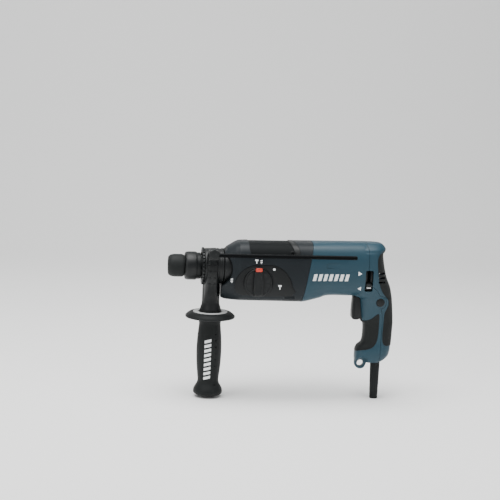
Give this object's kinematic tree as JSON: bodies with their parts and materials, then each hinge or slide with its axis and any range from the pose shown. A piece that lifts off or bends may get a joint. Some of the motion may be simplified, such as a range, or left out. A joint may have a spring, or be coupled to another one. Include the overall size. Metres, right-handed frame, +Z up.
{
  "type": "rotary hammer",
  "caption": "Corded rotary hammer with a pistol grip, quick-change chuck, mode dial, turning side handle and sliding depth rod.",
  "frame": {"origin": "middle of the pistol grip, where a hand holds the tool up", "axes": "+X from the chuck to the handle, parallel to the spindle; +Z up; the mode dial is on the -Y side"},
  "size_m": [0.3717, 0.0975, 0.2606],
  "materials": {
    "teal_abs": "fine moulded texture, satin",
    "grey_nylon": "fine moulded texture, satin",
    "black_nylon": "moulded, satin",
    "black_rubber": "moulded soft rubber, matte",
    "red_abs": "moulded, half gloss",
    "pale_nylon": "moulded, satin",
    "turned_steel": "turned and hardened",
    "cast_aluminium": "die cast",
    "core_steel": "blackened",
    "copper": "bare and lacquered copper",
    "carbon": "pressed carbon"
  },
  "bodies": {
    "tool_body": {"motor_housing": "teal_abs", "handle_cover": "teal_abs", "rear_grip_rubber": "black_rubber", "front_grip_rubber": "black_rubber", "gear_housing": "grey_nylon", "top_cover": "black_nylon", "dial_panel": "black_nylon", "housing_screw_1": "turned_steel", "housing_screw_2": "turned_steel", "housing_screw_3": "turned_steel", "housing_screw_4": "turned_steel", "barrel": "black_nylon", "oil_seal": "black_rubber", "spindle_bearing": "turned_steel", "spindle_support": "cast_aluminium", "camshaft_front_bearing": "turned_steel", "inner_housing": "cast_aluminium", "camshaft_rear_bearing": "turned_steel", "motor_front_bearing": "turned_steel", "motor_rear_bearing": "turned_steel", "stator_core": "core_steel", "field_coil_upper": "copper", "field_coil_lower": "copper", "air_baffle": "black_nylon", "switch_body": "black_nylon", "cord_guard": "black_rubber", "cord_clamp": "black_nylon"},
    "spindle": {"tool_holder": "turned_steel", "tip_cap": "black_rubber", "front_washer": "turned_steel", "lock_ball_1": "turned_steel", "lock_ball_2": "turned_steel", "spindle_gear": "core_steel"},
    "chuck_sleeve": {"chuck_sleeve": "black_nylon", "ball_retaining_ring": "turned_steel"},
    "impact_bolt": {"impact_bolt": "turned_steel"},
    "striker": {"striker": "turned_steel", "striker_o_ring": "black_rubber"},
    "piston": {"piston": "cast_aluminium"},
    "swash_arm": {"swash_arm": "turned_steel"},
    "camshaft": {"camshaft": "turned_steel", "camshaft_gear": "core_steel"},
    "armature": {"armature_shaft": "turned_steel", "armature_core": "core_steel", "commutator": "copper", "cooling_fan": "black_nylon"},
    "brush_holder": {"brush_ring": "black_nylon", "carbon_brush_1": "carbon", "carbon_brush_2": "carbon"},
    "mode_dial": {"mode_dial": "black_nylon"},
    "dial_button": {"dial_button": "red_abs"},
    "trigger": {"trigger": "black_nylon"},
    "lock_button": {"lock_button": "black_nylon"},
    "side_handle": {"clamp_band": "black_nylon", "clamp_holder": "black_nylon"},
    "side_grip": {"side_grip": "black_rubber", "flange_ring": "pale_nylon", "handle_bolt": "turned_steel"},
    "depth_rod": {"depth_rod": "core_steel"}
  },
  "joints": [
    {"name": "armature_spin", "type": "hinge", "parent": "tool_body", "child": "armature", "pos_m": [-0.086, 0, 0.0936], "axis": [1, 0, 0], "continuous": true},
    {"name": "camshaft_spin", "type": "hinge", "parent": "tool_body", "child": "camshaft", "pos_m": [-0.172, 0, 0.0776], "axis": [1, 0, 0], "continuous": true},
    {"name": "spindle_spin", "type": "hinge", "parent": "tool_body", "child": "spindle", "pos_m": [-0.286, 0, 0.102], "axis": [1, 0, 0], "continuous": true},
    {"name": "chuck_sleeve_slide", "type": "slide", "parent": "spindle", "child": "chuck_sleeve", "axis": [1, 0, 0], "range_m": [0, 0.006], "stiffness_N_per_m": 1000, "springref_m": -0.005},
    {"name": "impact_bolt_slide", "type": "slide", "parent": "tool_body", "child": "impact_bolt", "axis": [-1, 0, 0], "range_m": [0, 0.006]},
    {"name": "striker_slide", "type": "slide", "parent": "tool_body", "child": "striker", "axis": [1, 0, 0], "range_m": [0, 0.012]},
    {"name": "swash_rock", "type": "hinge", "parent": "tool_body", "child": "swash_arm", "pos_m": [-0.172, 0, 0.0776], "axis": [0, 1, 0], "range_deg": [-15, 15]},
    {"name": "piston_slide", "type": "slide", "parent": "tool_body", "child": "piston", "axis": [1, 0, 0], "range_m": [-0.0066, 0.0066]},
    {"name": "reversing_lever_turn", "type": "hinge", "parent": "tool_body", "child": "brush_holder", "pos_m": [-0.05, 0, 0.0936], "axis": [-1, 0, 0], "range_deg": [0, 36]},
    {"name": "mode_dial_turn", "type": "hinge", "parent": "tool_body", "child": "mode_dial", "pos_m": [-0.203, -0.04, 0.082], "axis": [0, 1, 0], "range_deg": [-90, 90]},
    {"name": "dial_button_press", "type": "slide", "parent": "mode_dial", "child": "dial_button", "axis": [0, 1, 0], "range_m": [0, 0.0016], "stiffness_N_per_m": 400, "springref_m": -0.002},
    {"name": "trigger_pull", "type": "slide", "parent": "tool_body", "child": "trigger", "axis": [1, 0, 0], "range_m": [0, 0.007], "stiffness_N_per_m": 500, "springref_m": -0.008},
    {"name": "lock_button_press", "type": "slide", "parent": "tool_body", "child": "lock_button", "axis": [0, 1, 0], "range_m": [0, 0.003], "stiffness_N_per_m": 400, "springref_m": -0.003},
    {"name": "side_handle_turn", "type": "hinge", "parent": "tool_body", "child": "side_handle", "pos_m": [-0.275, 0, 0.102], "axis": [1, 0, 0], "range_deg": [-95, 45]},
    {"name": "side_grip_turn", "type": "hinge", "parent": "side_handle", "child": "side_grip", "pos_m": [-0.275, 0, -0.048], "axis": [0, 0, 1], "continuous": true},
    {"name": "depth_rod_slide", "type": "slide", "parent": "side_handle", "child": "depth_rod", "axis": [-1, 0, 0], "range_m": [0, 0.15]}
  ],
  "couplings": [
    {"joint": "camshaft_spin", "follows": "armature_spin", "ratio": -0.23077},
    {"joint": "spindle_spin", "follows": "armature_spin", "ratio": 0.045249},
    {"joint": "piston_slide", "follows": "swash_rock", "m_per_rad": 0.0244}
  ]
}
